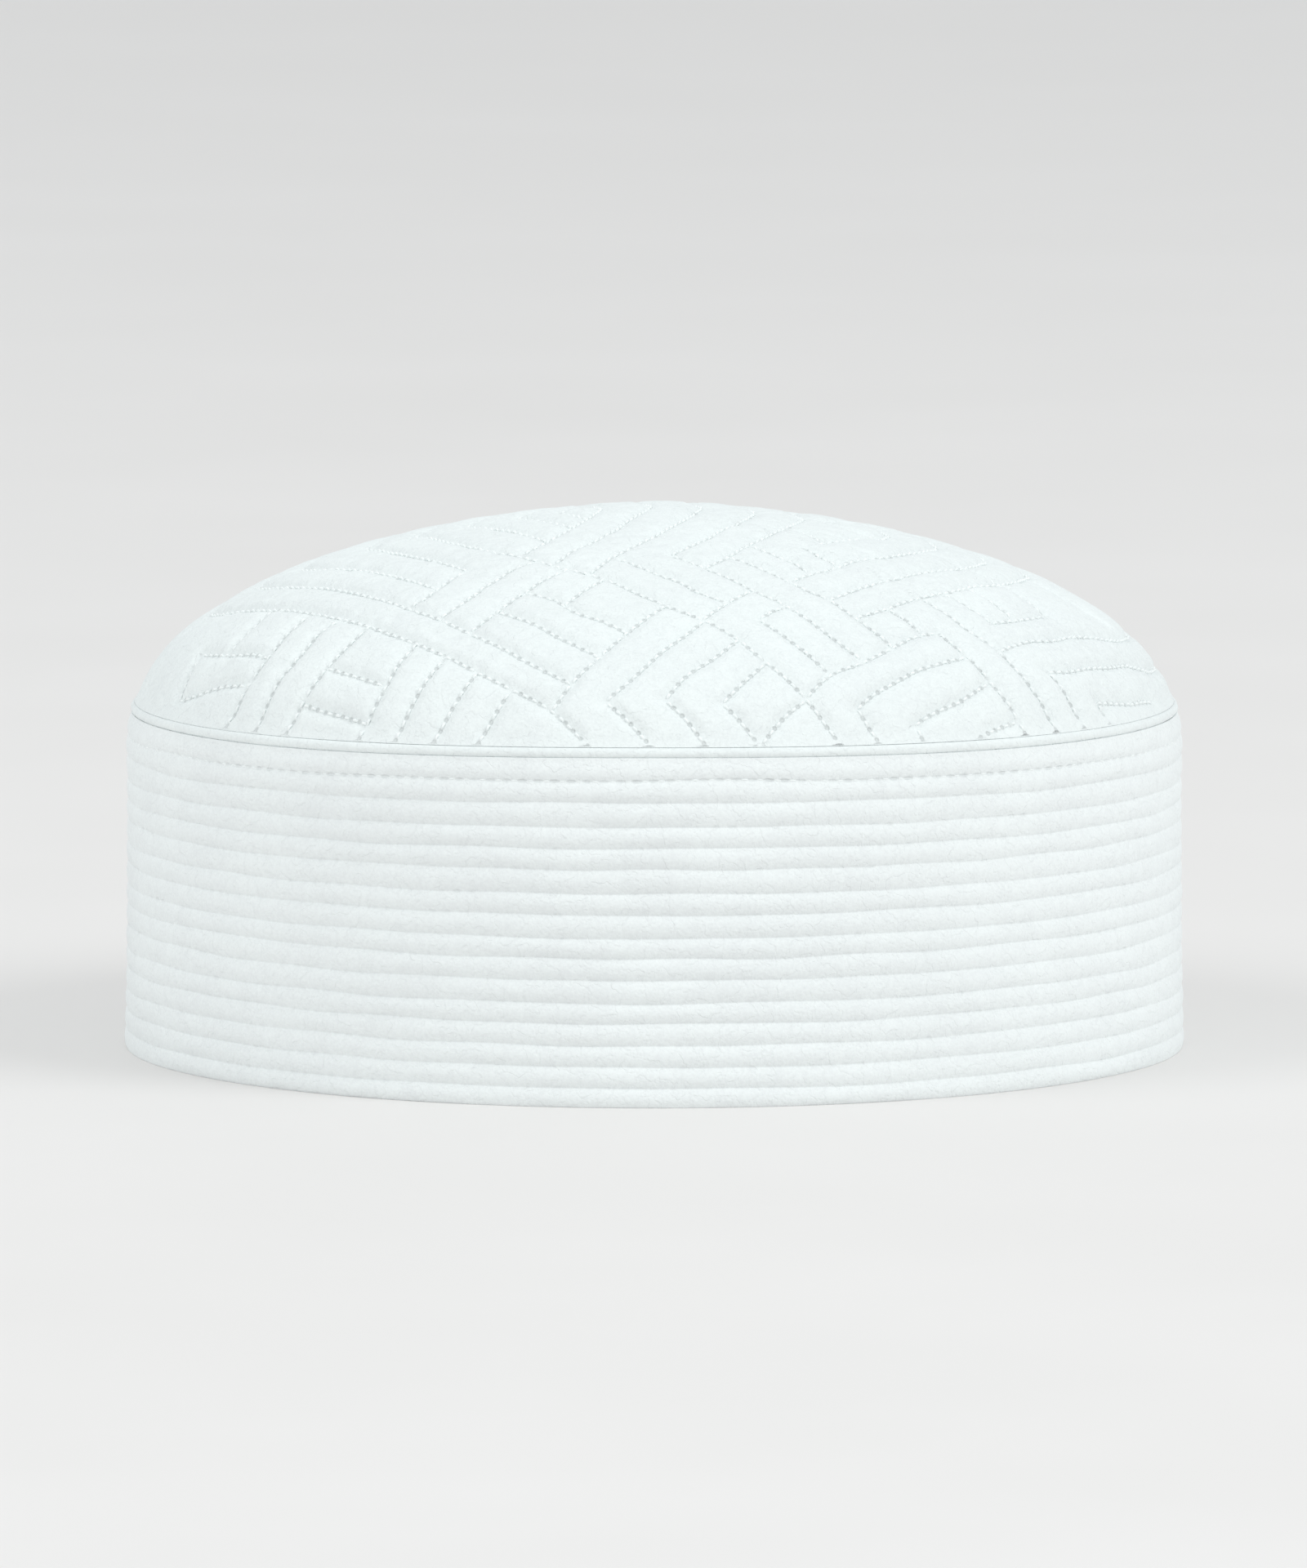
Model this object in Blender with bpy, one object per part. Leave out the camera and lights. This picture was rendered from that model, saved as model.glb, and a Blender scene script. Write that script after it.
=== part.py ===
"""A round kufi cap: a quilted dome crown, a thin piping in its seam, and a tall band of stuffed ribs.

Metres, +Z up. The origin is the centre of the hem, on the surface that the cap stands on. Every piece
is turned about the Z axis, and the head goes in from below.
"""

import math
from collections import namedtuple

import bmesh
import bpy

MM = 0.001

# Whole cap
SIDES = 56  # flat sides round each turned piece
SEAM_GAP = 0.3 * MM  # room kept between neighbouring pieces

# Band: its outline runs over the crests of the ribs
BAND_HEIGHT = 60.0 * MM
BAND_WALL = 3.2 * MM  # from the crest of a rib to the inside
RIB_COUNT = 16
RIB_RISE = 0.35 * MM  # from a stitched valley to the crest beside it
RIB_FACETS = 3  # straight facets up one rib

# Crown: a quilted shell whose edge is tucked in behind the piping
CROWN_WALL = 2.4 * MM
CROWN_EDGE_RADIUS = 90.0 * MM
CROWN_EDGE_RISE = 1.6 * MM  # upright part of the tucked edge
CROWN_FACETS = 2  # straight facets between two stations of the outline

# Piping
PIPING_RADIUS = 0.9 * MM  # of its own round section
PIPING_SIDES = 8

Station = namedtuple("Station", "radius_mm height_mm")

# Crests of the ribs, from the hem up. The band narrows a little towards the seam.
BAND_OUTLINE = (
    Station(radius_mm=94.0, height_mm=0.0),
    Station(radius_mm=93.6, height_mm=16.0),
    Station(radius_mm=93.4, height_mm=47.0),
    Station(radius_mm=93.3, height_mm=54.0),
    Station(radius_mm=92.95, height_mm=57.5),
    Station(radius_mm=92.45, height_mm=60.0),
)

# Outside of the crown, from its middle out and down: a shallow peak, the shoulder, and the side.
CROWN_OUTLINE = (
    Station(radius_mm=0.0, height_mm=96.2),
    Station(radius_mm=17.0, height_mm=94.9),
    Station(radius_mm=34.0, height_mm=92.4),
    Station(radius_mm=51.0, height_mm=88.5),
    Station(radius_mm=65.0, height_mm=83.9),
    Station(radius_mm=75.2, height_mm=78.8),
    Station(radius_mm=82.7, height_mm=73.7),
    Station(radius_mm=87.4, height_mm=68.8),
    Station(radius_mm=91.1, height_mm=62.6),
)

COLOURS = {
    "band": (0.86, 0.90, 0.89, 1.0),
    "crown": (0.88, 0.92, 0.91, 1.0),
    "crown_piping": (0.90, 0.93, 0.92, 1.0),
}
ROUGHNESS = 0.9


def clear_scene():
    for thing in list(bpy.data.objects):
        bpy.data.objects.remove(thing, do_unlink=True)


def cloth_material(name, colour):
    material = bpy.data.materials.new(name + "_cloth")
    material.use_nodes = True
    shader = material.node_tree.nodes["Principled BSDF"]
    shader.inputs["Base Color"].default_value = colour
    shader.inputs["Roughness"].default_value = ROUGHNESS
    shader.inputs["Metallic"].default_value = 0.0
    return material


def outline_radius(outline, height):
    """The radius of an outline at a height, straight between its stations."""
    for low, high in zip(outline, outline[1:]):
        bottom, top = low.height_mm * MM, high.height_mm * MM
        if bottom <= height <= top:
            share = (height - bottom) / (top - bottom)
            return MM * (low.radius_mm + share * (high.radius_mm - low.radius_mm))
    return MM * outline[-1].radius_mm


def slope_at(outline, index):
    """The slope of a smooth outline at one station. It is level at the middle of the cap."""
    if index == 0:
        return 0.0
    before = outline[index - 1]
    after = outline[min(index + 1, len(outline) - 1)]
    return (after.height_mm - before.height_mm) / (after.radius_mm - before.radius_mm)


def smooth_outline(outline, facets):
    """(radius, height) points on a smooth curve through the stations, facets of them to each stretch."""
    points = []
    for index, (start, end) in enumerate(zip(outline, outline[1:])):
        run = end.radius_mm - start.radius_mm
        leave = slope_at(outline, index) * run
        arrive = slope_at(outline, index + 1) * run
        for step in range(facets):
            t = step / facets
            height = (
                (2 * t**3 - 3 * t**2 + 1) * start.height_mm
                + (t**3 - 2 * t**2 + t) * leave
                + (3 * t**2 - 2 * t**3) * end.height_mm
                + (t**3 - t**2) * arrive
            )
            points.append((MM * (start.radius_mm + t * run), MM * height))
    points.append((MM * outline[-1].radius_mm, MM * outline[-1].height_mm))
    return points


def offset_inwards(points, distance):
    """The points moved square to their line, towards the inside of the cap. The first stays on the axis."""
    moved = [(0.0, points[0][1] - distance)]
    for before, here, after in zip(points, points[1:], points[2:] + points[-1:]):
        across, down = after[0] - before[0], after[1] - before[1]
        length = math.hypot(across, down)
        moved.append((here[0] + distance * down / length, here[1] - distance * across / length))
    return moved


def turned_piece(name, profile, ring):
    """A solid turned about Z from (radius, height) points. A ring's profile closes on itself."""
    shape = bmesh.new()
    points = [shape.verts.new((radius, 0.0, height)) for radius, height in profile]
    edges = [shape.edges.new(pair) for pair in zip(points, points[1:])]
    if ring:
        edges.append(shape.edges.new((points[-1], points[0])))
    bmesh.ops.spin(
        shape,
        geom=points + edges,
        cent=(0.0, 0.0, 0.0),
        axis=(0.0, 0.0, 1.0),
        angle=math.tau,
        steps=SIDES,
        use_merge=True,
    )
    bmesh.ops.remove_doubles(shape, verts=shape.verts, dist=0.001 * MM)
    bmesh.ops.recalc_face_normals(shape, faces=shape.faces)
    mesh = bpy.data.meshes.new(name)
    shape.to_mesh(mesh)
    shape.free()
    mesh.shade_smooth()
    mesh.set_sharp_from_angle(angle=math.radians(35.0))
    mesh.materials.append(cloth_material(name, COLOURS[name]))
    piece = bpy.data.objects.new(name, mesh)
    bpy.context.scene.collection.objects.link(piece)
    return piece


def rib_profile(bottom, top):
    """Points up the outside of one stuffed rib, an arc that bulges from valley to valley."""
    crest = outline_radius(BAND_OUTLINE, (bottom + top) / 2)
    points = []
    for step in range(RIB_FACETS):
        share = step / RIB_FACETS
        bulge = RIB_RISE * (1 - (2 * share - 1) ** 2)
        points.append((crest - RIB_RISE + bulge, bottom + share * (top - bottom)))
    return points


def make_band():
    """The ribbed wall: its ribs outside from the hem up, a flat top edge, and a plain inside."""
    rib_height = BAND_HEIGHT / RIB_COUNT
    profile = []
    for index in range(RIB_COUNT):
        profile += rib_profile(index * rib_height, (index + 1) * rib_height)
    top_crest = outline_radius(BAND_OUTLINE, BAND_HEIGHT)
    profile.append((top_crest - RIB_RISE, BAND_HEIGHT))
    for station in reversed(BAND_OUTLINE):
        profile.append((MM * station.radius_mm - BAND_WALL, MM * station.height_mm))
    return turned_piece("band", profile, ring=True)


def make_crown():
    """The dome: a shell of even thickness, open below, whose edge stands on the band."""
    outside = smooth_outline(CROWN_OUTLINE, CROWN_FACETS)
    inside = offset_inwards(outside, CROWN_WALL)
    edge = BAND_HEIGHT + SEAM_GAP
    tucked = [
        (CROWN_EDGE_RADIUS, edge + CROWN_EDGE_RISE),
        (CROWN_EDGE_RADIUS, edge),
        (CROWN_EDGE_RADIUS - CROWN_WALL, edge),
    ]
    return turned_piece("crown", outside + tucked + inside[-2::-1], ring=False)


def make_piping():
    """The piping: a thin round ring in the corner between the crown's edge and the top of the band."""
    centre_radius = CROWN_EDGE_RADIUS + SEAM_GAP + PIPING_RADIUS
    centre_height = BAND_HEIGHT + SEAM_GAP + PIPING_RADIUS
    profile = []
    for side in range(PIPING_SIDES):
        angle = math.tau * side / PIPING_SIDES
        radius = centre_radius + PIPING_RADIUS * math.cos(angle)
        profile.append((radius, centre_height + PIPING_RADIUS * math.sin(angle)))
    return turned_piece("crown_piping", profile, ring=True)


clear_scene()
make_band()
make_crown()
make_piping()
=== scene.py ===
"""The looks of a white kufi cap: a quilted crown, a thin piping and a band of stuffed ribs.

Metres, +Z up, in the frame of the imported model. Names that end in _MM or _mm are in millimetres. The crown
is worked out on its flattened cloth: x to the right, y to the back, and the distance from the middle is the
length of cloth down the dome. There the seams are nearly straight, and the chart below gives them.
"""

import math
from collections import namedtuple

import bpy
import numpy as np
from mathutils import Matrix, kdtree


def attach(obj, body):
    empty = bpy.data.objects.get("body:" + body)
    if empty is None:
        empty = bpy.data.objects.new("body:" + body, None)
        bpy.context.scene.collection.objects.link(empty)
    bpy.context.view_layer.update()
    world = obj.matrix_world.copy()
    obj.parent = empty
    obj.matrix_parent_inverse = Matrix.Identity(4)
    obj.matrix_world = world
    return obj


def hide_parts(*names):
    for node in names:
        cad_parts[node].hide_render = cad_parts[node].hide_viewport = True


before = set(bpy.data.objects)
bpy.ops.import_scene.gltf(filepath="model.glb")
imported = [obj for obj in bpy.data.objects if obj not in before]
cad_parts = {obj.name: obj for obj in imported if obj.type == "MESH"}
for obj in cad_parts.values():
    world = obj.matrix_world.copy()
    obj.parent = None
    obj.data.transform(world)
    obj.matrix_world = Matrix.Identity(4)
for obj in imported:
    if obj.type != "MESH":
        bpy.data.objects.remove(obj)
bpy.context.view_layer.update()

MM = 0.001
SEED = 7
PATCH_COUNT = 64  # patches of an irregular field before it repeats, each way

# Sizes shared with the solids
BAND_HEIGHT_MM = 60.0
BAND_WALL_MM = 3.2
CROWN_WALL_MM = 2.4

# The cap is a little wider than deep, and at both sides its seam lies lower and further out. The spread and
# the sag start at their low heights, are full at the seam, and are gone at the high one.
WIDER = 0.0030
SEAM_WIDER = 0.0045
SPREAD_LOW_MM = 46.0
SAG_MM = 0.95
SAG_REACH_MM = 84.0  # from the middle plane to where the seam is lowest
SAG_LOW_MM = 24.0
SAG_HIGH_MM = 72.0

# Where both sides of the cap begin, and over how much: 0 is its front and back, 1 its right and left
Sides = namedtuple("Sides", "begin over")
SEAM_SIDES = Sides(begin=0.55, over=0.4)
RIB_SIDES = Sides(begin=0.84, over=0.15)
STITCH_SIDES = Sides(begin=0.70, over=0.2)

Station = namedtuple("Station", "radius_mm height_mm")

# Crests of the ribs, from the hem up
BAND_OUTLINE = (
    Station(radius_mm=94.0, height_mm=0.0),
    Station(radius_mm=93.6, height_mm=16.0),
    Station(radius_mm=93.4, height_mm=47.0),
    Station(radius_mm=93.3, height_mm=54.0),
    Station(radius_mm=92.95, height_mm=57.5),
    Station(radius_mm=92.45, height_mm=60.0),
)

# The top edge of the band, from the outside in: it closes up to the underside of the piping
BAND_TOP = (
    Station(radius_mm=92.2, height_mm=60.25),
    Station(radius_mm=92.14, height_mm=60.52),
    Station(radius_mm=91.98, height_mm=60.48),
    Station(radius_mm=91.7, height_mm=60.24),
    Station(radius_mm=90.9, height_mm=60.1),
)
BAND_TOP_INSIDE = (
    Station(radius_mm=89.6, height_mm=60.05),
    Station(radius_mm=89.25, height_mm=59.7),
)

# Outside of the crown, from its middle out and down
CROWN_OUTLINE = (
    Station(radius_mm=0.0, height_mm=96.2),
    Station(radius_mm=17.0, height_mm=94.9),
    Station(radius_mm=34.0, height_mm=92.4),
    Station(radius_mm=51.0, height_mm=88.5),
    Station(radius_mm=65.0, height_mm=83.9),
    Station(radius_mm=75.2, height_mm=78.8),
    Station(radius_mm=82.7, height_mm=73.7),
    Station(radius_mm=87.4, height_mm=68.8),
    Station(radius_mm=91.1, height_mm=62.6),
)
OUTLINE_STEPS = 40  # points to each stretch of the crown's outline

EdgeStation = namedtuple("EdgeStation", "radius_mm height_mm side_push_mm side_drop_mm", defaults=(0, 0))

# The crown's edge below the quilting: it rolls in behind the piping and stands on the band. At both sides
# of the cap it hangs further out over the piping.
CROWN_EDGE = (
    EdgeStation(radius_mm=91.28, height_mm=62.31, side_push_mm=0.30, side_drop_mm=0.09),
    EdgeStation(radius_mm=91.33, height_mm=62.215, side_push_mm=0.30, side_drop_mm=0.09),
    EdgeStation(radius_mm=91.2, height_mm=62.22, side_push_mm=0.20, side_drop_mm=0.03),
    EdgeStation(radius_mm=90.6, height_mm=62.2),
    EdgeStation(radius_mm=90.2, height_mm=62.0),
    EdgeStation(radius_mm=90.0, height_mm=61.5),
    EdgeStation(radius_mm=89.98, height_mm=60.5),
    EdgeStation(radius_mm=89.8, height_mm=60.3),
)
CROWN_EDGE_INSIDE = (
    EdgeStation(radius_mm=87.9, height_mm=60.3),
    EdgeStation(radius_mm=87.65, height_mm=60.55),
    EdgeStation(radius_mm=87.8, height_mm=61.6),
)
CROWN_SIDE_PUSH_MM = 0.30  # of the cloth above that edge
SIDE_PUSH_FROM_MM = 92.0  # from the middle of the cloth
SIDE_PUSH_OVER_MM = 8.0
FIRST_CORNER_ANGLE = -math.pi / 4  # where the points round the crown's edge start

# Piping: a roll that is pressed a little between the crown and the band
PIPING_CENTRE = Station(radius_mm=91.15, height_mm=61.2)
PIPING_HALF_WIDTH_MM = 1.12
PIPING_HALF_HEIGHT_MM = 0.98
PIPING_SQUARENESS = 2.05  # 2 is an ellipse
PIPING_UNEVENNESS = 0.03
PIPING_COLUMNS = 720
PIPING_ROWS = 20

# Ribs of the band, from the hem up, with their own heights
RIB_HEIGHTS_MM = (3.3, 3.7, 3.7, 3.8, 3.5, 4.0, 3.8, 3.5, 4.0, 3.7, 4.2, 3.7, 3.7, 4.2, 3.7, 3.5)
RIB_RISE_MM = 0.58  # from a stitched valley to the crest, over the front and the back
SIDE_FLATTENING = 0.5  # share of that rise which is missing at both sides
TOP_EDGE_RISE_MM = 0.25  # from the upper edge of the top rib to its crest
RIB_ROUNDNESS = 2.0  # 2 is an arc, and more is fuller towards the valleys
RIB_ROWS = 8
BAND_COLUMNS = 600
BACK_ANGLE = math.pi / 2  # where the stitches of the band start their count
BAND_STITCH_MM = 2.87
CLEAR_VALLEY = 15  # the valley below the top rib, where the stitches show
VALLEY_WANDER_MM = 0.13
RIB_UNEVENNESS = 0.10
FINE_WAVE_MM = 0.015
BAND_PUCKER_MM = 0.09  # pull of the stitches at the needle holes
BAND_PUCKER_REACH_MM = 0.7
INSIDE_RIB_RISE_MM = 0.16
INSIDE_ROWS = 3
HEM_ROLL_MM = 0.35  # the hem's lower inside edge is cut off by this much
HEM_ROLL_RISE_MM = 0.4

# How plainly stitches show: a mean and a wave round the cap, between limits, and a fading at both sides
# It sets how far the needle holes pull the band in, and how dark their painted shade is
StitchShow = namedtuple("StitchShow", "mean wave least most side_fading")
CLEAR_STITCHES = StitchShow(mean=0.6, wave=0.2, least=0.2, most=1.0, side_fading=0.75)
HIDDEN_STITCHES = StitchShow(mean=0.15, wave=0.13, least=0.0, most=0.5, side_fading=0.0)
INSIDE_STITCH_STRENGTH = 0.5
STITCH_SHIFT = 0.37  # from one valley to the next, in stitches

# Quilting
GRID_CELLS = 264  # cells across the outside of the crown; the inside has half as many
CROWN_STITCH_MM = 2.2
SWELL_PRESSURE = 7.0  # of the padding against the cloth, in the simulation
SWELL_FRAMES = 8
SWELL_SCALE = 10.0  # the net is simulated this much larger, where the solver is steadier
SPARE_CLOTH = 0.012  # share by which the cloth is longer than the dome under it
FIRST_LIFT = 0.15  # lift of the net before it swells, for each mm from a seam
FIRST_LIFT_REACH_MM = 2.0
MOST_LIFT_MM = 0.80
MEAN_LIFT_MM = 0.36  # by which the padded cloth is sunk again, so that it lies on the dome's outline
EDGE_LIFT_MM = 0.16  # by which it is sunk less towards its edge
EDGE_LIFT_FROM_MM = 74.0
EDGE_LIFT_OVER_MM = 20.0
PADDING_EDGE_MM = 3.0  # width of the edge that the padding leaves flat
VALLEY_EDGE_MM = 2.4  # and of the one without valleys
VALLEY_DEPTH_MM = 0.42
VALLEY_WIDTH_MM = 0.95
PUCKER_MM = 0.12  # pull of the stitches at the needle holes
PUCKER_REACH_MM = 1.1
CREASE_MM = 0.05  # small folds that run from the needle holes into the padding
CREASE_FROM_MM = 0.8
CREASE_REACH_MM = 2.6
ROLL_MM = 0.10  # broad unevenness of the padding
ROLL_SIZE_MM = 23.0
DIMPLE_MM = 0.035
DIMPLE_SIZE_MM = 4.2
INSIDE_RELIEF = 0.8  # share of the outside's relief that shows inside
SEAM_SAMPLE_MM = 0.25
EDGE_CATCH_MM = 2.1  # a seam that ends this near the edge of the cloth runs on to it
HOLE_REACH_MM = 1.2  # from a seam to where no hole is drawn
HOLE_FADE_MM = 0.3

# Threads
THREAD_POINTS = 5
THREAD_SIDES = 6
THREAD_SHARE = 0.60  # of the stitch that the thread shows
THREAD_TAPER = 0.28  # radians from a point of no thickness to the thread's end
THREAD_LIFT_MM = (-0.20, 0.12, 0.20, 0.12, -0.20)
THREAD_LIFT_UNEVENNESS = 0.15
THREAD_EDGE_MM = 0.3  # room between the threads and the edge of the cloth
LAST_STITCH_SHARE = 0.2  # of a stitch that a seam may lack at its end
STITCH_JITTER = 0.02  # of a stitch
CROWN_THREAD_MM = 0.52
BAND_THREAD_MM = 0.34
BAND_THREAD_SINK_MM = 0.20
SINK_UNEVENNESS_MM = 0.03

# Colours
CLOTH_WHITE = (0.861, 0.904, 0.897, 1.0)
CLOTH_GREY = (0.799, 0.836, 0.835, 1.0)
# Painted light: the band's cloth is a touch lighter and less cyan, for the warm light the floor bounces onto
# it
BOUNCE_LIT_BAND_WHITE = (0.886, 0.921, 0.917, 1.0)
BOUNCE_LIT_BAND_GREY = (0.824, 0.852, 0.854, 1.0)
# Painted shade in the dips of the needle holes
HOLE_SHADE_GREY = (0.52, 0.55, 0.545, 1.0)
THREAD_WHITE = (0.95, 0.98, 0.975, 1.0)
THREAD_GREY = (0.88, 0.92, 0.915, 1.0)
SHEEN_TINT = (0.95, 0.98, 1.0, 1.0)
FLOOR_DARK = (0.795, 0.77, 0.755, 1.0)
FLOOR_LIGHT = (0.83, 0.81, 0.80, 1.0)
LAMP_WHITE = (0.97, 1.0, 1.0)
ROOM_WHITE = (0.955, 0.985, 0.997, 1.0)

# Studio, in metres, watts and degrees. The camera's sensor and lens are in millimetres.
FLOOR_RADIUS = 14.0
FLOOR_SIDES = 64
LAMP_SIZE = 2.2
LAMP_AIM = (0, 0, 0.06)
ROOM_LIGHT = 0.80
CAMERA_PLACE = (-0.00016, -2.82, 0.3479)
CAMERA_DOWN_DEGREES = 6.107
CAMERA_SENSOR = 36.0
CAMERA_LENS = 366.3
FAR_CLIP = 60.0

# Needle holes, as ovals along their seam: each dents the cloth, and its darkness is painted shade in that
# dent
Holes = namedtuple("Holes", "width_mm length_mm stitch_mm darkness")
CROWN_HOLES = Holes(width_mm=0.9, length_mm=1.05, stitch_mm=CROWN_STITCH_MM, darkness=0.5)
BAND_HOLES = Holes(width_mm=0.6, length_mm=1.9, stitch_mm=BAND_STITCH_MM, darkness=0.24)

# Lines of stitches on the flattened front half of the crown, as (x, y) in mm. The back half mirrors it.
QUILT_SEAMS_MM = (
    # Down to the right, on the left side
    (
        (-82, 0), (-79, -10), (-73.5, -20.5), (-70, -27), (-66, -33), (-62, -39.5), (-58.5, -45), (-55, -50),
        (-51.5, -55), (-48.5, -59.5), (-44, -65.5), (-36, -75.5), (-32, -80.3), (-26, -86.3), (-19, -92.5),
        (-12.5, -100.5),
    ),
    (
        (-72.5, 0), (-69, -10), (-64, -20), (-58, -30), (-53, -38.5), (-48, -46.5), (-43.5, -53.5),
        (-38, -61), (-33, -68), (-28, -74), (-22, -81), (-15, -87.5),
    ),
    ((-64, 0), (-60, -10), (-56, -16.5), (-53, -22), (-48, -31), (-43, -39.5), (-38.5, -47)),
    ((-52, 0), (-49, -8), (-45, -18), (-41, -26), (-37, -33), (-33, -40)),
    (
        (-43, 0), (-39.5, -8), (-37, -15), (-33, -23), (-29, -30), (-24, -35.5), (-20, -40.5), (-15.5, -46),
        (-11, -50), (-7, -54.5), (-3, -59.5), (2, -64.5), (8, -69), (14, -74), (20, -80.5), (28, -88),
        (36, -95.5),
    ),
    ((-23, -55.5), (-18, -60), (-14, -66), (-9, -70), (-5, -74)),
    ((-28, -62), (-22, -68), (-17, -74), (-12, -79), (-10, -81)),
    ((-9, -92), (-6, -95), (0, -102)),
    ((2, -92), (6, -96), (10, -101)),
    ((12.5, -92), (17, -96), (20, -99.3)),
    ((-84, -30), (-81, -35), (-78, -40), (-74, -45), (-71, -50)),
    ((-91, -37), (-87, -42), (-82, -47), (-76, -54)),
    ((-60, -64), (-55, -70), (-49.5, -76)),
    ((-66, -69), (-62, -74), (-58, -78), (-54, -82)),
    # Down to the right, in the middle and on the right side
    ((-6, -42.5), (0, -50), (5, -55), (8, -59), (13, -62.3)),
    ((3, -40.5), (9, -47), (14, -52), (17.5, -56), (23, -61), (28, -66), (33, -71), (38, -75)),
    ((13, -39.5), (18, -44), (23, -49), (27, -53), (31, -56), (35.5, -61), (40, -65), (43, -68)),
    ((17, -32), (21, -36), (24, -39), (27, -43)),
    ((41.5, -54.5), (45, -57), (48.3, -60.5)),
    ((47.5, -46), (52, -49), (57, -53), (63, -56), (67, -59), (73, -62.5), (78, -66.5)),
    ((51, -58), (57, -62.5), (62, -66.5), (67, -69), (72, -73)),
    ((18.5, -67.7), (25, -74), (30, -79), (32, -81)),
    ((37.5, -86.5), (40, -89), (44, -93)),
    ((49.5, -85), (52.5, -89)),
    ((56, -32.5), (60, -35), (65, -39.5)),
    ((51.5, -40), (57, -43), (61, -45.5)),
    ((54, -17), (59, -20), (65, -24), (71, -29)),
    ((73, -53), (77, -55), (83, -59)),
    ((84, -48.5), (87, -50.5)),
    ((27, -30), (29, -33), (33, -38)),
    ((24, -15), (27, -18), (30, -23)),
    # Up to the right, in the middle
    ((-9, -92), (-4, -87), (2, -79), (6, -74), (8.8, -69.7)),
    ((2, -92), (6, -86), (10, -82), (15, -75)),
    ((12.5, -92), (16, -87), (20.3, -80.7)),
    ((20, -99.5), (24, -93), (28, -88)),
    ((-19, -92.5), (-15, -87), (-10, -81), (-5, -74), (-2, -70), (2, -64.5)),
    ((8.5, -69.5), (13, -62.3), (17.3, -56)),
    ((18.7, -67.5), (22, -63), (24, -61.5)),
    ((9, -46.5), (13, -39.5), (16, -32.5), (19, -26), (20.5, -22), (24.5, -10), (26.5, 0)),
    ((3, -40), (6, -35), (8, -31), (10, -27), (12, -21), (14, -17), (16.5, -8), (18, 0)),
    ((-11.3, -49), (-8, -42), (-5, -37), (-3, -33.5), (0, -28), (3, -20.5), (6.5, -10), (8.5, 0)),
    ((-17.5, -42), (-14, -35), (-11, -31), (-9, -27), (-7, -23), (-5, -16), (-2, -7), (-0.5, 0)),
    ((-23, -34), (-20, -30), (-18, -26), (-16, -22), (-14, -17), (-11, -8), (-9.5, 0)),
    ((-38.3, -60), (-34, -56), (-30, -50), (-27, -46), (-25, -43), (-20.5, -40)),
    ((-33, -67.5), (-28, -62), (-23, -55.5), (-20, -51), (-15, -45.5)),
    ((-16, -63), (-13, -58), (-9, -52.5)),
    ((-43.5, -52.5), (-40, -49), (-38.5, -46.5), (-35, -42), (-33, -40)),
    # Up to the right, on the left side
    ((-55, -82.5), (-50, -77), (-46, -71), (-43, -67)),
    ((-50, -89), (-46, -84), (-42, -79), (-38, -74)),
    ((-42, -92), (-37, -86), (-32, -80)),
    ((-34, -96), (-30, -91), (-26, -86)),
    ((-75, -65), (-70, -60), (-65, -56), (-61, -51), (-57, -48)),
    ((-71, -73), (-66, -69), (-60, -64), (-54, -58), (-51, -55)),
    ((-82, -59), (-78, -56), (-71, -50), (-67, -45), (-62, -40)),
    ((-78, -38), (-74, -34), (-71, -30), (-69, -28)),
    ((-91, -37), (-87, -33), (-84, -30)),
    # Up to the right, on the right side
    ((28, -87.5), (32, -81), (38, -75), (43, -68), (48.3, -60.5), (51, -58)),
    ((37.5, -87), (40, -83), (44, -78), (48, -72.5), (52, -68), (57, -62.5)),
    ((49, -85), (52, -81), (57, -75), (60, -70), (62, -66.5)),
    ((60, -82.5), (64, -77), (69, -70.5)),
    (
        (24.5, -49), (28, -44), (32, -39), (36, -32), (40, -27), (43, -22), (46, -16), (49.5, -7), (51, 0),
    ),
    ((31, -56), (35, -50), (39, -44), (44, -37), (48, -30), (52, -24), (57, -13), (60, 0)),
    (
        (36, -61), (41.5, -54.5), (45, -49), (50, -42), (54, -36), (57, -30), (59, -27), (65, -14), (68, 0),
    ),
    ((61, -45.5), (65, -40), (68, -35), (71, -29.5)),
    (
        (63, -55.5), (66, -50), (69, -45), (73, -40), (76, -34), (80, -27), (84, -20), (86, -15), (89, 0),
    ),
    ((73, -53), (77, -48), (81, -41), (85, -34), (88, -27), (94, -13), (96, 0)),
    ((84, -49), (88, -43), (91, -38), (94, -31)),
    ((29, -24), (33, -19), (36, -14), (39, -11), (42, 0)),
    # Across the middle of the crown and its right side
    ((-14.5, -18), (-20, -9), (-25, 0)),
    ((-19, -27.5), (-26.5, -14), (-34, 0)),
    ((-12, -11), (-14.5, -6), (-17, 0)),
    ((67, -7), (78, -10), (87.5, -11)),
    ((29.5, 0), (36, -7), (40, -8.5)),
)


# Soft steps, and irregular fields from numbers with a seed


def eased(share):
    """0 up to a share of 0, 1 from a share of 1, and a smooth way between them."""
    share = np.clip(share, 0, 1)
    return share * share * (3 - 2 * share)


def side_share(angle, sides):
    """1 at both sides of the cap, and 0 over its front and its back."""
    return eased((np.abs(np.cos(angle)) - sides.begin) / sides.over)


def near_seam(distance, reach_mm):
    """1 on a seam, and falling off softly over its reach."""
    return np.exp(-((distance / reach_mm) ** 2))


def stitch_pull(stitches):
    """1 at each needle hole, and 0 in the middle of each stitch."""
    return 0.5 + 0.5 * np.cos(math.tau * stitches)


def random_numbers(salt):
    """A source of numbers that is the same each run, with its own row of them for each salt."""
    return np.random.default_rng(SEED + salt)


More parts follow.
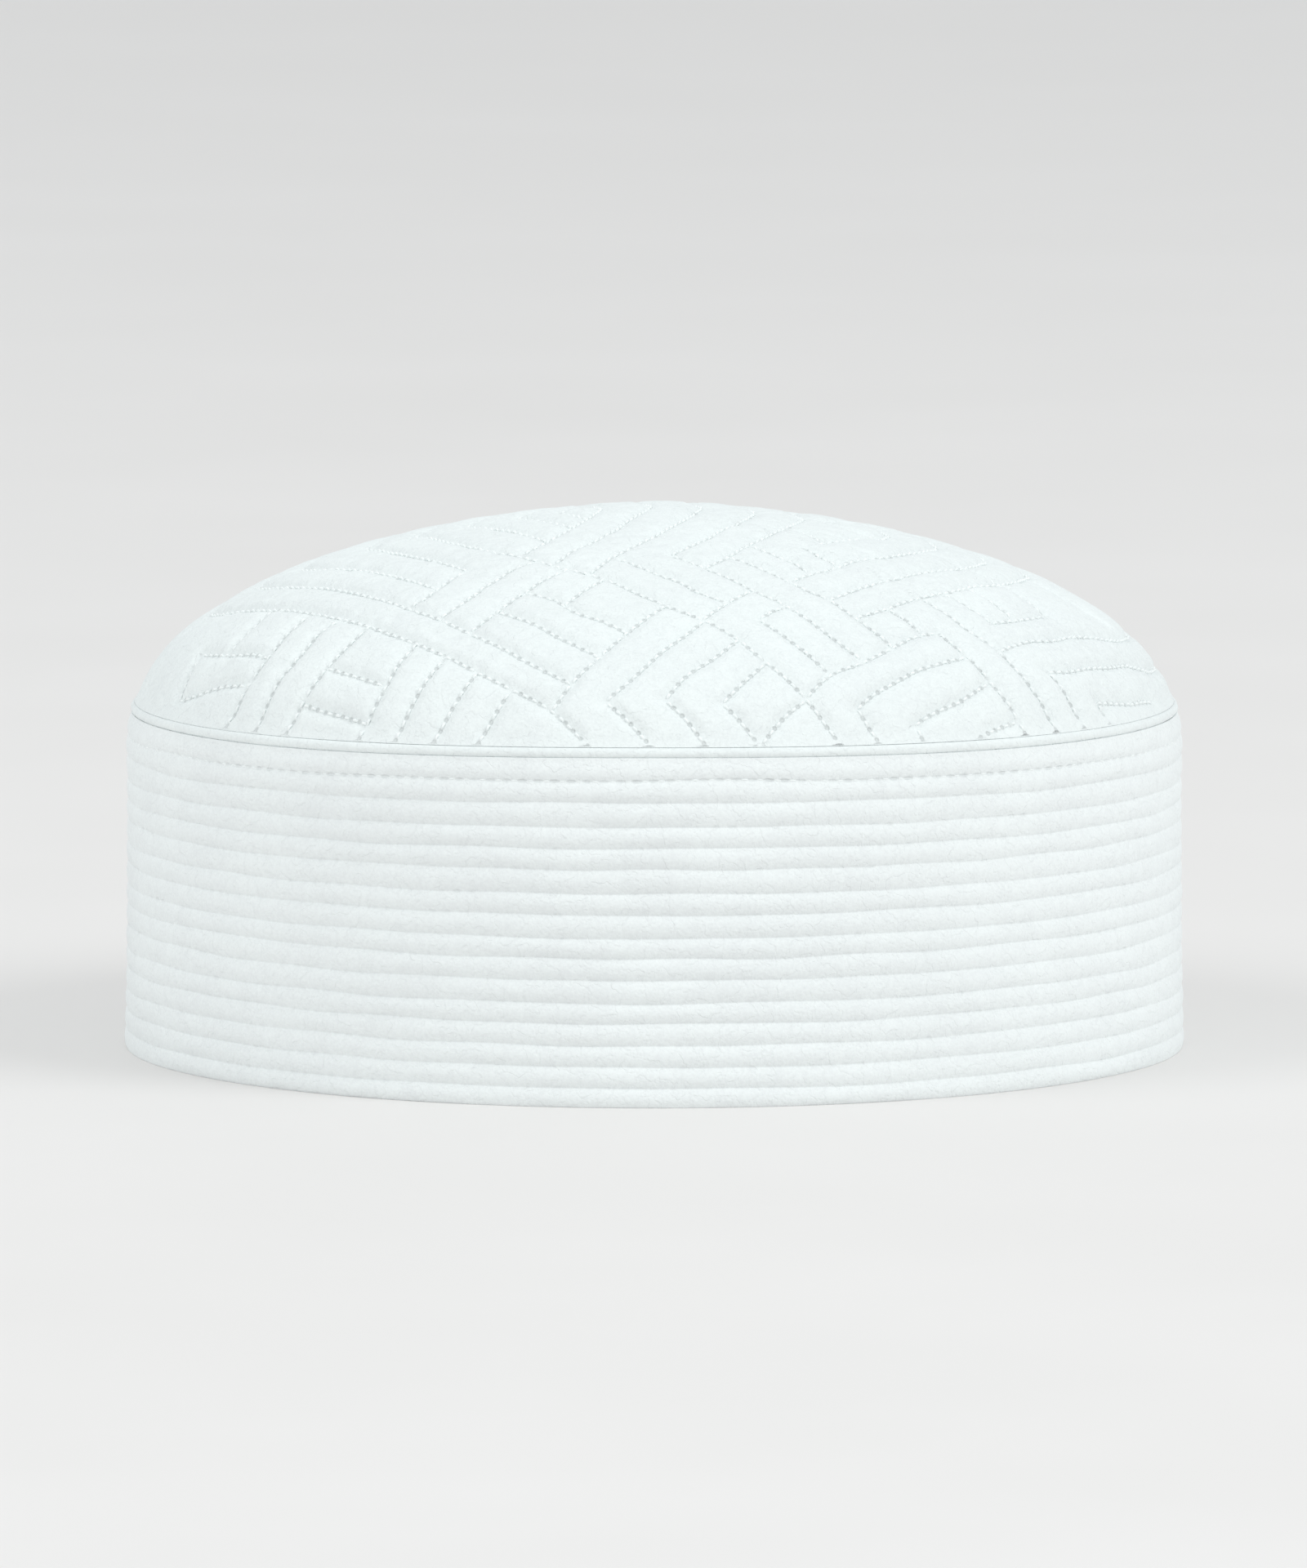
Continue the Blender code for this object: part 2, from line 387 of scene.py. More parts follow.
def patches(x, y, size, salt):
    """A smooth irregular field from -1 to 1, with patches of about that size."""
    count = PATCH_COUNT
    table = random_numbers(salt).uniform(-1, 1, (count, count))
    u, v = x / size, y / size
    i, j = np.floor(u).astype(int), np.floor(v).astype(int)
    s, t = eased(u - i), eased(v - j)
    left, right, low, high = i % count, (i + 1) % count, j % count, (j + 1) % count
    bottom = table[low, left] * (1 - s) + table[low, right] * s
    top = table[high, left] * (1 - s) + table[high, right] * s
    return bottom * (1 - t) + top * t


def round_wave(angle, slowest, fastest, salt):
    """An irregular wave round the cap, from about -1 to 1, that closes on itself."""
    numbers = random_numbers(salt)
    total = np.zeros_like(angle)
    for turns in range(slowest, fastest + 1):
        total += numbers.normal() * np.cos(turns * angle + numbers.uniform(0, math.tau))
    return total / math.sqrt(fastest - slowest + 1)


# Outlines


def curve_between(share, start, leave, end, arrive):
    """Values on a smooth curve from start to end, with its slopes there, for a share from 0 to 1."""
    return (
        (2 * share**3 - 3 * share**2 + 1) * start
        + (share**3 - 2 * share**2 + share) * leave
        + (3 * share**2 - 2 * share**3) * end
        + (share**3 - share**2) * arrive
    )


def slope_at(outline, index):
    if index == 0:
        return 0.0
    before, after = outline[index - 1], outline[min(index + 1, len(outline) - 1)]
    return (after.height_mm - before.height_mm) / (after.radius_mm - before.radius_mm)


def crown_outline():
    """(radius, height, length of cloth from the middle) down a smooth curve through the crown's stations."""
    radii, heights = [], []
    share = np.arange(OUTLINE_STEPS) / OUTLINE_STEPS
    for index, (start, end) in enumerate(zip(CROWN_OUTLINE, CROWN_OUTLINE[1:])):
        run = end.radius_mm - start.radius_mm
        leave, arrive = slope_at(CROWN_OUTLINE, index) * run, slope_at(CROWN_OUTLINE, index + 1) * run
        radii.append(start.radius_mm + share * run)
        heights.append(curve_between(share, start.height_mm, leave, end.height_mm, arrive))
    radius = np.append(np.concatenate(radii), CROWN_OUTLINE[-1].radius_mm)
    height = np.append(np.concatenate(heights), CROWN_OUTLINE[-1].height_mm)
    length = np.append(0, np.cumsum(np.hypot(np.diff(radius), np.diff(height))))
    return radius, height, length


OUTLINE_RADIUS, OUTLINE_HEIGHT, OUTLINE_LENGTH = crown_outline()
CLOTH_RADIUS_MM = OUTLINE_LENGTH[-1]
OUTLINE_FALL = np.gradient(OUTLINE_HEIGHT, OUTLINE_LENGTH)
OUTLINE_REACH = np.gradient(OUTLINE_RADIUS, OUTLINE_LENGTH)


def crown_surface(x, y, lift):
    """Points in mm on the dome for points of the flat cloth, lifted off it, and the way out there."""
    length = np.hypot(x, y)
    radius = np.interp(length, OUTLINE_LENGTH, OUTLINE_RADIUS)
    height = np.interp(length, OUTLINE_LENGTH, OUTLINE_HEIGHT)
    out = -np.interp(length, OUTLINE_LENGTH, OUTLINE_FALL)
    up = np.interp(length, OUTLINE_LENGTH, OUTLINE_REACH)
    safe = np.maximum(length, 1e-9)
    cosine, sine = x / safe, y / safe
    normal = np.stack([out * cosine, out * sine, up], axis=-1)
    normal /= np.linalg.norm(normal, axis=-1, keepdims=True)
    base = np.stack([radius * cosine, radius * sine, height], axis=-1)
    return base + normal * np.asarray(lift)[..., None], normal


# Quilt lines


def smooth_line(points, spacing):
    """Points at about that spacing on a smooth curve through the given ones."""
    given = np.array(points, float)
    steps = np.linalg.norm(np.diff(given, axis=0), axis=1)
    place = np.append(0, np.cumsum(steps))
    slopes = np.gradient(given, place, axis=0)
    count = max(2, int(round(place[-1] / spacing)) + 1)
    along = np.linspace(0, place[-1], count)
    stretch = np.clip(np.searchsorted(place, along, side="right") - 1, 0, len(steps) - 1)
    run = steps[stretch][:, None]
    share = (along - place[stretch])[:, None] / run
    leave, arrive = run * slopes[stretch], run * slopes[stretch + 1]
    return curve_between(share, given[stretch], leave, given[stretch + 1], arrive)


def run_to_edge(line):
    """The line with an end that comes close to the edge of the cloth drawn on straight past it."""
    for _ in range(2):
        line = line[::-1]
        if np.hypot(*line[-1]) > CLOTH_RADIUS_MM - EDGE_CATCH_MM:
            ahead = line[-1] - line[-4]
            steps = np.arange(SEAM_SAMPLE_MM, 2 * EDGE_CATCH_MM, SEAM_SAMPLE_MM)[:, None]
            line = np.concatenate([line, line[-1] + steps * ahead / np.linalg.norm(ahead)])
    return line


def quilt_lines():
    """Every seam of the crown, front and back, as (points, lengths), cut off at the edge of the cloth."""
    lines = []
    for points in QUILT_SEAMS_MM:
        for side in (1, -1):
            turned = [(x, y * side) for x, y in points]
            line = run_to_edge(smooth_line(turned, SEAM_SAMPLE_MM))
            line = line[np.hypot(*line.T) < CLOTH_RADIUS_MM]
            steps = np.linalg.norm(np.diff(line, axis=0), axis=1)
            lines.append((line, np.append(0, np.cumsum(steps))))
    return lines


def nearest_seams(x, y, lines):
    """For each point of the flat cloth, about its nearest seam: the distance with its side, the distance,
    the stitches along it, and its number."""
    samples = np.concatenate([line for line, _ in lines])
    tangents = np.concatenate([np.gradient(line, length, axis=0) for line, length in lines])
    runs = np.concatenate([length for _, length in lines])
    owners = np.concatenate([np.full(len(line), number) for number, (line, _) in enumerate(lines)])
    tree = kdtree.KDTree(len(samples))
    for index, (px, py) in enumerate(samples.tolist()):
        tree.insert((px, py, 0.0), index)
    tree.balance()
    places = np.stack([x.ravel(), y.ravel()], axis=1)
    nearest = np.array([tree.find((px, py, 0.0))[1] for px, py in places.tolist()])
    offset = places - samples[nearest]
    tangent = tangents[nearest]
    ahead = np.clip(np.sum(offset * tangent, axis=1), -SEAM_SAMPLE_MM, SEAM_SAMPLE_MM)
    aside = offset[:, 1] * tangent[:, 0] - offset[:, 0] * tangent[:, 1]
    distance = np.linalg.norm(offset - ahead[:, None] * tangent, axis=1)
    signed = np.where(aside < 0, -distance, distance)
    stitches = (runs[nearest] + ahead) / CROWN_STITCH_MM
    return [values.reshape(x.shape) for values in (signed, distance, stitches, owners[nearest])]


def hole_strength(distance):
    """How far needle holes show at a distance from a seam: 1 on it, and 0 at HOLE_REACH_MM."""
    return eased((HOLE_REACH_MM - distance) / HOLE_FADE_MM)


def away_from_corners(owners):
    """1 where all the points around one in the net have the same nearest seam, and 0 beside another seam."""
    same = np.ones(owners.shape)
    padded = np.pad(owners, 1, mode="edge")
    for down in range(3):
        for across in range(3):
            neighbour = padded[down:down + owners.shape[0], across:across + owners.shape[1]]
            same[neighbour != owners] = 0
    return same


# Meshes


def worn(points):
    """Points in mm, with the cap a little wider than deep, and its seam spread and let down at the sides."""
    points = np.array(points, float)
    sideways = eased(np.abs(points[:, 0]) / SAG_REACH_MM)
    height = points[:, 2]
    above = 1 - eased((height - BAND_HEIGHT_MM) / (SAG_HIGH_MM - BAND_HEIGHT_MM))
    spread = SEAM_WIDER * above * eased((height - SPREAD_LOW_MM) / (BAND_HEIGHT_MM - SPREAD_LOW_MM))
    sag = SAG_MM * sideways * above * eased((height - SAG_LOW_MM) / (BAND_HEIGHT_MM - SAG_LOW_MM))
    points[:, 0] *= 1 + WIDER + spread
    points[:, 2] -= sag
    return points


def in_scene(name, data):
    """A new object of the scene, with this mesh, light or camera."""
    thing = bpy.data.objects.new(name, data)
    bpy.context.scene.collection.objects.link(thing)
    return thing


def mesh_piece(name, vertices_mm, faces, seam, material):
    """A mesh from points in mm. Where it has stitches, seam says how each point lies to its nearest seam."""
    mesh = bpy.data.meshes.new(name)
    mesh.from_pydata((worn(vertices_mm) * MM).tolist(), [], faces)
    mesh.shade_smooth()
    if seam is not None:
        attribute = mesh.attributes.new("seam", "FLOAT_VECTOR", "POINT")
        attribute.data.foreach_set("vector", np.asarray(seam, np.float32).ravel())
    mesh.materials.append(material)
    piece = in_scene(name, mesh)
    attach(piece, "root")
    return piece


def bridge(low, low_count, high, high_count):
    """Faces from a ring of points to the next one. Either ring may have twice the points of the other."""
    count = min(low_count, high_count)
    low_step, high_step = low_count // count, high_count // count
    columns = np.arange(count)
    following = (columns + 1) % count
    corners = [low + low_step * columns]
    if low_step == 2:
        corners.append(low + 2 * columns + 1)
    corners += [low + low_step * following, high + high_step * following]
    if high_step == 2:
        corners.append(high + 2 * columns + 1)
    corners.append(high + high_step * columns)
    return np.stack(corners, axis=1).tolist()


def square_to_disc(a, b):
    """Points of a square, -1 to 1, laid on a round disc so that equal squares cover equal areas."""
    sideways = np.abs(a) >= np.abs(b)
    radius = np.where(sideways, a, b)
    safe = np.where(radius == 0, 1, radius)
    angle = np.where(sideways, b / safe, 2 - a / safe) * math.pi / 4
    return radius * np.cos(angle), radius * np.sin(angle)


def disc_to_square(x, y):
    """The way back from square_to_disc."""
    sideways = np.abs(x) >= np.abs(y)
    main, minor = np.where(sideways, x, y), np.where(sideways, y, x)
    radius = np.hypot(x, y) * np.where(main < 0, -1, 1)
    ratio = minor / np.where(main == 0, 1, main)
    other = radius * np.arctan(ratio) * 4 / math.pi
    return np.where(sideways, radius, other), np.where(sideways, other, radius)


def cloth_grid(cells):
    """x and y in mm of a square net of points laid on the round cloth."""
    side = np.linspace(-1, 1, cells + 1)
    a, b = np.meshgrid(side, side)
    x, y = square_to_disc(a, b)
    return x * CLOTH_RADIUS_MM, y * CLOTH_RADIUS_MM


def grid_faces(cells, start, upwards):
    index = start + np.arange((cells + 1) ** 2).reshape(cells + 1, cells + 1)
    corners = [index[:-1, :-1], index[:-1, 1:], index[1:, 1:], index[1:, :-1]]
    if not upwards:
        corners.reverse()
    return np.stack([corner.ravel() for corner in corners], axis=1).tolist()


def grid_edge(cells):
    """Numbers of the net's outer points, in order round the cloth from its front right."""
    index = np.arange((cells + 1) ** 2).reshape(cells + 1, cells + 1)
    return np.concatenate([index[:-1, -1], index[-1, :0:-1], index[:0:-1, 0], index[0, :-1]])


def turned_ring(radius, height, angle):
    """Points in mm about the cap's axis, such as a ring. The radius and the height may change round it."""
    radius = np.broadcast_to(radius, angle.shape)
    height = np.broadcast_to(height, angle.shape)
    return np.stack([radius * np.cos(angle), radius * np.sin(angle), height], axis=-1)


def no_seam(count):
    """Seam values for points that lie far from any stitch."""
    return np.zeros((count, 3))


def bridge_rings(low, high):
    """Faces between two rings given by their points' numbers."""
    faces = bridge(0, len(low), len(low), len(high))
    numbers = np.concatenate([low, high]).tolist()
    return [[numbers[corner] for corner in face] for face in faces]


# Crown


def halfway(values):
    """The rows of a table with a smooth row put between each two."""
    ends = 2 * values[[0, -1]] - values[[1, -2]]
    padded = np.concatenate([ends[:1], values, ends[1:]])
    rows = np.empty((2 * len(values) - 1, values.shape[1]))
    rows[::2] = values
    rows[1::2] = (9 * (padded[1:-2] + padded[2:-1]) - padded[:-3] - padded[3:]) / 16
    return rows


def cloth_under_pressure(points_mm, faces, held):
    """Points of a net of cloth, in mm, after it has swollen under pressure while some of them are held."""
    mesh = bpy.data.meshes.new("padding_trial")
    mesh.from_pydata((points_mm * MM * SWELL_SCALE).tolist(), [], faces)
    cloth = in_scene("padding_trial", mesh)
    cloth.vertex_groups.new(name="held").add(np.flatnonzero(held).tolist(), 1.0, "REPLACE")
    modifier = cloth.modifiers.new("Cloth", "CLOTH")
    modifier.collision_settings.use_collision = False
    modifier.point_cache.frame_start = 1
    modifier.point_cache.frame_end = SWELL_FRAMES
    settings = modifier.settings
    settings.quality = 5
    settings.mass = 0.2
    settings.tension_stiffness = 20
    settings.compression_stiffness = 20
    settings.shear_stiffness = 10
    settings.bending_stiffness = 0.3
    settings.vertex_group_mass = "held"
    settings.shrink_min = -SPARE_CLOTH
    settings.use_pressure = True
    settings.uniform_pressure_force = SWELL_PRESSURE
    settings.effector_weights.gravity = 0
    scene = bpy.context.scene
    for number in range(1, SWELL_FRAMES + 1):
        scene.frame_set(number)
    swollen = cloth.evaluated_get(bpy.context.evaluated_depsgraph_get()).data
    places = np.empty(3 * len(swollen.vertices), np.float32)
    swollen.vertices.foreach_get("co", places)
    bpy.data.objects.remove(cloth, do_unlink=True)
    bpy.data.meshes.remove(mesh)
    scene.frame_set(1)
    return places.reshape(-1, 3) / (MM * SWELL_SCALE)


def padding_lift(x, y, distance):
    """How far the padding lifts the cloth of the crown, in mm, at every point of its net."""
    cells = GRID_CELLS // 2
    coarse_x, coarse_y, near = x[::2, ::2], y[::2, ::2], distance[::2, ::2]
    base, normal = crown_surface(coarse_x, coarse_y, np.zeros_like(coarse_x))
    start = base + normal * FIRST_LIFT * np.minimum(near, FIRST_LIFT_REACH_MM)[..., None]
    held = near < CLOTH_RADIUS_MM / cells
    held[[0, -1]] = True
    held[:, [0, -1]] = True
    start[held] = base[held]
    swollen = cloth_under_pressure(start.reshape(-1, 3), grid_faces(cells, 0, upwards=True), held.ravel())
    lift = np.sum((swollen.reshape(base.shape) - base) * normal, axis=-1)
    lift = MOST_LIFT_MM * np.tanh(np.maximum(lift, 0) / MOST_LIFT_MM)
    return halfway(halfway(lift).T).T


def crown_relief(x, y, distance, stitches):
    """Height in mm of the quilted cloth over the dome's outline."""
    puff = padding_lift(x, y, distance)
    valley = VALLEY_DEPTH_MM * near_seam(distance, VALLEY_WIDTH_MM)
    pucker = PUCKER_MM * stitch_pull(stitches) * near_seam(distance, PUCKER_REACH_MM)
    crease = CREASE_MM * np.cos(math.tau * stitches) * near_seam(distance, CREASE_REACH_MM)
    crease *= 1 - near_seam(distance, CREASE_FROM_MM)
    uneven = ROLL_MM * patches(x, y, ROLL_SIZE_MM, salt=1)
    uneven += DIMPLE_MM * patches(x, y, DIMPLE_SIZE_MM, salt=2)
    reach = np.hypot(x, y)
    edge_lift = EDGE_LIFT_MM * eased((reach - EDGE_LIFT_FROM_MM) / EDGE_LIFT_OVER_MM)
    full = (puff - crease + uneven - MEAN_LIFT_MM + edge_lift) * edge_blend(x, y, PADDING_EDGE_MM)
    push = CROWN_SIDE_PUSH_MM * side_share(np.arctan2(y, x), SEAM_SIDES)
    push *= eased((reach - SIDE_PUSH_FROM_MM) / SIDE_PUSH_OVER_MM)
    return full + push - (valley + pucker) * edge_blend(x, y, VALLEY_EDGE_MM)


def edge_blend(x, y, reach):
    """1 over the dome, and 0 at the edge of the cloth. The change takes the last few mm, given by reach."""
    return eased((CLOTH_RADIUS_MM - np.hypot(x, y)) / reach)


def make_crown(lines, material):
    """The quilted dome as one closed shell. It also returns the outside's points, for the stitches."""
    x, y = cloth_grid(GRID_CELLS)
    signed, distance, stitches, owners = nearest_seams(x, y, lines)
    relief = crown_relief(x, y, distance, stitches)
    outside, _ = crown_surface(x, y, relief)
    strength = hole_strength(distance)
    seam = np.stack([signed, strength * away_from_corners(owners), stitches], axis=-1)
    inner_seam = seam[::2, ::2].copy()
    inner_seam[..., 1] = strength[::2, ::2] * away_from_corners(owners[::2, ::2])

    inner_cells = GRID_CELLS // 2
    depth = CROWN_WALL_MM + INSIDE_RELIEF * relief[::2, ::2]
    inside, _ = crown_surface(x[::2, ::2], y[::2, ::2], -depth)

    inner_count, outer_count = 4 * inner_cells, 4 * GRID_CELLS
    inner_total, outer_total = (inner_cells + 1) ** 2, (GRID_CELLS + 1) ** 2
    vertices = [inside.reshape(-1, 3), outside.reshape(-1, 3)]
    faces = grid_faces(inner_cells, 0, upwards=False) + grid_faces(GRID_CELLS, inner_total, upwards=True)
    total = inner_total + outer_total
    rings = []
    edge = [(station, inner_count) for station in reversed(CROWN_EDGE_INSIDE)]
    edge += [(station, outer_count) for station in reversed(CROWN_EDGE)]
    for station, count in edge:
        angle = FIRST_CORNER_ANGLE + np.arange(count) * math.tau / count
        aside = side_share(angle, SEAM_SIDES)
        radius = station.radius_mm + station.side_push_mm * aside
        height = station.height_mm - station.side_drop_mm * aside
        vertices.append(turned_ring(radius, height, angle))
        rings.append(np.arange(total, total + count))
        total += count
    inner_edge = grid_edge(inner_cells)
    outer_edge = inner_total + grid_edge(GRID_CELLS)
    for low, high in zip([inner_edge] + rings, rings + [outer_edge]):
        faces += bridge_rings(low, high)

    seams = [inner_seam.reshape(-1, 3), seam.reshape(-1, 3), no_seam(total - inner_total - outer_total)]
    crown = mesh_piece("quilted_crown", np.concatenate(vertices), faces, np.concatenate(seams), material)
    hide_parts("crown")
    return outside


# Band


def valley_heights():
    """Heights of the lines between the ribs, from the hem to the top edge of the band."""
    return np.append(0, np.cumsum(RIB_HEIGHTS_MM)) * BAND_HEIGHT_MM / sum(RIB_HEIGHTS_MM)


def crest_radius(height):
    radii, heights = zip(*BAND_OUTLINE)
    return np.interp(height, heights, radii)


def wandered(height, number, angle):
    """The height of a valley line, which wanders a little, except at the hem and under the piping."""
    if number in (0, len(RIB_HEIGHTS_MM)):
        return np.full_like(angle, height)
    return height + VALLEY_WANDER_MM * round_wave(angle, slowest=2, fastest=24, salt=100 + number)


def rib_bulge(share):
    """How full a rib is at a share of its height: 0 in its valleys and 1 at its crest."""
    return 1 - np.abs(2 * share - 1) ** RIB_ROUNDNESS


def rib_rise(angle):
    """How far the crests of the ribs stand out over their valleys, round the cap."""
    return RIB_RISE_MM * (1 - SIDE_FLATTENING * side_share(angle, RIB_SIDES))


def band_stitch_count():
    return round(math.tau * crest_radius(BAND_HEIGHT_MM / 2) / BAND_STITCH_MM)


def stitch_shift(valley):
    """How far the stitches of one valley are shifted against those of the hem, in stitches."""
    return STITCH_SHIFT * valley


def valley_stitch_strength(valley, angle):
    """How plainly the stitches of a valley show, round the cap. They stop where the count starts anew."""
    if valley in (0, len(RIB_HEIGHTS_MM)):
        return np.zeros_like(angle)
    show = CLEAR_STITCHES if valley == CLEAR_VALLEY else HIDDEN_STITCHES
    wave = round_wave(angle, slowest=5, fastest=60, salt=800 + valley)
    strength = np.clip(show.mean + show.wave * wave, show.least, show.most)
    strength *= 1 - show.side_fading * side_share(angle, STITCH_SIDES)
    strength[[0, -1]] = 0
    return strength


def rib_row(rib, share, valleys, angle, outside):
    """One row of points along a rib, and their seam values. share is 0 in the valley below, and 1 above."""
    low, high = valleys[rib], valleys[rib + 1]
    height = low + share * (high - low)
    valley = rib + (share > 0.5)
    distance = min(share, 1 - share) * (high - low)
    stitches = (angle - BACK_ANGLE) / math.tau * band_stitch_count() + stitch_shift(valley)
    if outside:
        strength = valley_stitch_strength(valley, angle)
        pucker = BAND_PUCKER_MM * strength * stitch_pull(stitches)
        pucker = pucker * near_seam(distance, BAND_PUCKER_REACH_MM)
        fullness = 1 + RIB_UNEVENNESS * round_wave(angle, slowest=3, fastest=40, salt=300 + rib)
        under_piping = rib == len(RIB_HEIGHTS_MM) - 1 and share > 0.5
        rise = TOP_EDGE_RISE_MM if under_piping else rib_rise(angle)
        radius = crest_radius(height) - rise * (1 - rib_bulge(share) * fullness) - pucker
        radius += FINE_WAVE_MM * round_wave(angle, slowest=60, fastest=140, salt=500 + rib * RIB_ROWS)
    else:
        strength = np.full_like(angle, INSIDE_STITCH_STRENGTH)
        strength[[0, -1]] = 0
        radius = crest_radius(height) - BAND_WALL_MM + INSIDE_RIB_RISE_MM * (1 - rib_bulge(share))
    signed = distance if share <= 0.5 else -distance
    seam = np.stack([signed, strength * hole_strength(distance), stitches], axis=1)
    return turned_ring(radius, height, angle), seam


def plain_row(radius, height, angle):
    """One row of points that lie far from any stitch, and their seam values."""
    return turned_ring(radius, height, angle), no_seam(len(angle))


def make_band(material):
    """The wall of stuffed ribs as one closed ring. It returns the valley lines, for their stitches."""
    angle = BACK_ANGLE + np.arange(BAND_COLUMNS) * math.tau / BAND_COLUMNS
    inner_angle = angle[::2]
    valleys = [wandered(height, number, angle) for number, height in enumerate(valley_heights())]
    inner_valleys = [valley[::2] for valley in valleys]
    rib_count = len(RIB_HEIGHTS_MM)

    shares = 0.5 - 0.5 * np.cos(math.pi * np.arange(RIB_ROWS) / RIB_ROWS)
    rows = []
    for rib in range(rib_count):
        rows += [rib_row(rib, share, valleys, angle, outside=True) for share in shares]
    rows += [plain_row(*station, angle) for station in BAND_TOP]
    rows += [plain_row(*station, inner_angle) for station in BAND_TOP_INSIDE]
    inner_shares = np.arange(INSIDE_ROWS, 0, -1) / INSIDE_ROWS
    for rib in reversed(range(rib_count)):
        for share in inner_shares:
            if rib + share < rib_count:
                rows.append(rib_row(rib, share, inner_valleys, inner_angle, outside=False))
    hem_radius = crest_radius(0) - BAND_WALL_MM
    rows.append(plain_row(hem_radius, HEM_ROLL_RISE_MM, inner_angle))
    rows.append(plain_row(hem_radius + HEM_ROLL_MM, 0.0, inner_angle))

    starts = np.append(0, np.cumsum([len(points) for points, _ in rows])).tolist()
    faces = []
    for number, (points, _) in enumerate(rows):
        following = (number + 1) % len(rows)
        faces += bridge(starts[number], len(points), starts[following], len(rows[following][0]))
    points = np.concatenate([points for points, _ in rows])
    seams = np.concatenate([seam for _, seam in rows])
    band = mesh_piece("corded_band", points, faces, seams, material)
    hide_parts("band")
    return valleys


# Piping


def squared(share):
    """A cosine or sine, turned into that of a section that is a little squarer than an ellipse."""
    return math.copysign(abs(share) ** (2 / PIPING_SQUARENESS), share)


def make_piping(material):
    """The thin roll between the crown and the band, a little uneven along its length."""
    columns, sides = PIPING_COLUMNS, PIPING_ROWS
    angle = np.arange(columns) * math.tau / columns
    fullness = 1 + PIPING_UNEVENNESS * round_wave(angle, slowest=8, fastest=70, salt=701)
    rings = []
    for side in range(sides):
        turn = math.tau * side / sides
        across, up = squared(math.cos(turn)), squared(math.sin(turn))
        radius = PIPING_CENTRE.radius_mm + (fullness if across > 0 else 1) * PIPING_HALF_WIDTH_MM * across
        height = PIPING_CENTRE.height_mm + PIPING_HALF_HEIGHT_MM * up
        rings.append(turned_ring(radius, height, angle))
    faces = []
    for side in range(sides):
        faces += bridge(side * columns, columns, (side + 1) % sides * columns, columns)
    piping = mesh_piece("crown_seam_piping", np.concatenate(rings), faces, None, material)
    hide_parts("crown_piping")


# Stitches


def thread_loops(name, centres, ups, thickness_mm, material):
    """A mesh of short threads. centres has the points along each one, in mm, and ups the way out there."""
    sides = THREAD_SIDES
    count, points, _ = centres.shape
    along = np.gradient(centres, axis=1)
    along /= np.linalg.norm(along, axis=2, keepdims=True)
    across = np.cross(along, ups)
    across /= np.linalg.norm(across, axis=2, keepdims=True)
    up = np.cross(across, along)
    swell = np.sqrt(np.sin(np.linspace(THREAD_TAPER, math.pi - THREAD_TAPER, points)))
    turn = np.arange(sides) * math.tau / sides
    ring = (
        across[:, :, None, :] * np.cos(turn)[None, None, :, None]
        + up[:, :, None, :] * np.sin(turn)[None, None, :, None]
    )
    vertices = centres[:, :, None, :] + ring * (thickness_mm / 2 * swell)[None, :, None, None]
    index = np.arange(count * points * sides).reshape(count, points, sides)
    following = np.roll(index, -1, axis=2)
    walls = np.stack([index[:, :-1], following[:, :-1], following[:, 1:], index[:, 1:]], axis=-1)
    faces = walls.reshape(-1, 4).tolist()
    faces += index[:, 0, ::-1].tolist() + index[:, -1, :].tolist()
    piece = mesh_piece(name, vertices.reshape(-1, 3), faces, None, material)


def on_crown(outside, x, y):
    """Points in mm on the outside of the crown for points of the flat cloth."""
    cells = GRID_CELLS
    a, b = disc_to_square(x / CLOTH_RADIUS_MM, y / CLOTH_RADIUS_MM)
    u = np.clip((a + 1) / 2 * cells, 0, cells - 1e-6)
    v = np.clip((b + 1) / 2 * cells, 0, cells - 1e-6)
    i, j = np.floor(u).astype(int), np.floor(v).astype(int)
    s, t = (u - i)[..., None], (v - j)[..., None]
    low = outside[j, i] * (1 - s) + outside[j, i + 1] * s
    high = outside[j + 1, i] * (1 - s) + outside[j + 1, i + 1] * s
    return low * (1 - t) + high * t


def stitch_places(first, last, numbers):
    """For each stitch between two counts: the places of its thread's points, counted in stitches."""
    middle = np.arange(first + 0.5, last, 1.0)
    middle = middle + numbers.normal(0, STITCH_JITTER, len(middle))
    spread = THREAD_SHARE * (np.arange(THREAD_POINTS) / (THREAD_POINTS - 1) - 0.5)
    return middle[:, None] + spread[None]


def make_crown_stitches(lines, outside, material):
    numbers = random_numbers(salt=900)
    flat = []
    for line, length in lines:
        last = length[-1] / CROWN_STITCH_MM - LAST_STITCH_SHARE
        along = CROWN_STITCH_MM * stitch_places(0, last, numbers)
        flat.append(np.stack([np.interp(along, length, line[:, axis]) for axis in (0, 1)], axis=-1))
    x, y = np.moveaxis(np.concatenate(flat), -1, 0)
    kept = np.hypot(x, y).max(axis=1) < CLOTH_RADIUS_MM - THREAD_EDGE_MM
    x, y = x[kept], y[kept]
    _, normals = crown_surface(x, y, np.zeros_like(x))
    lift = np.array(THREAD_LIFT_MM) * (1 + numbers.normal(0, THREAD_LIFT_UNEVENNESS, (len(x), 1)))
    centres = on_crown(outside, x, y) + normals * lift[:, :, None]
    thread_loops("crown_stitches", centres, normals, CROWN_THREAD_MM, material)


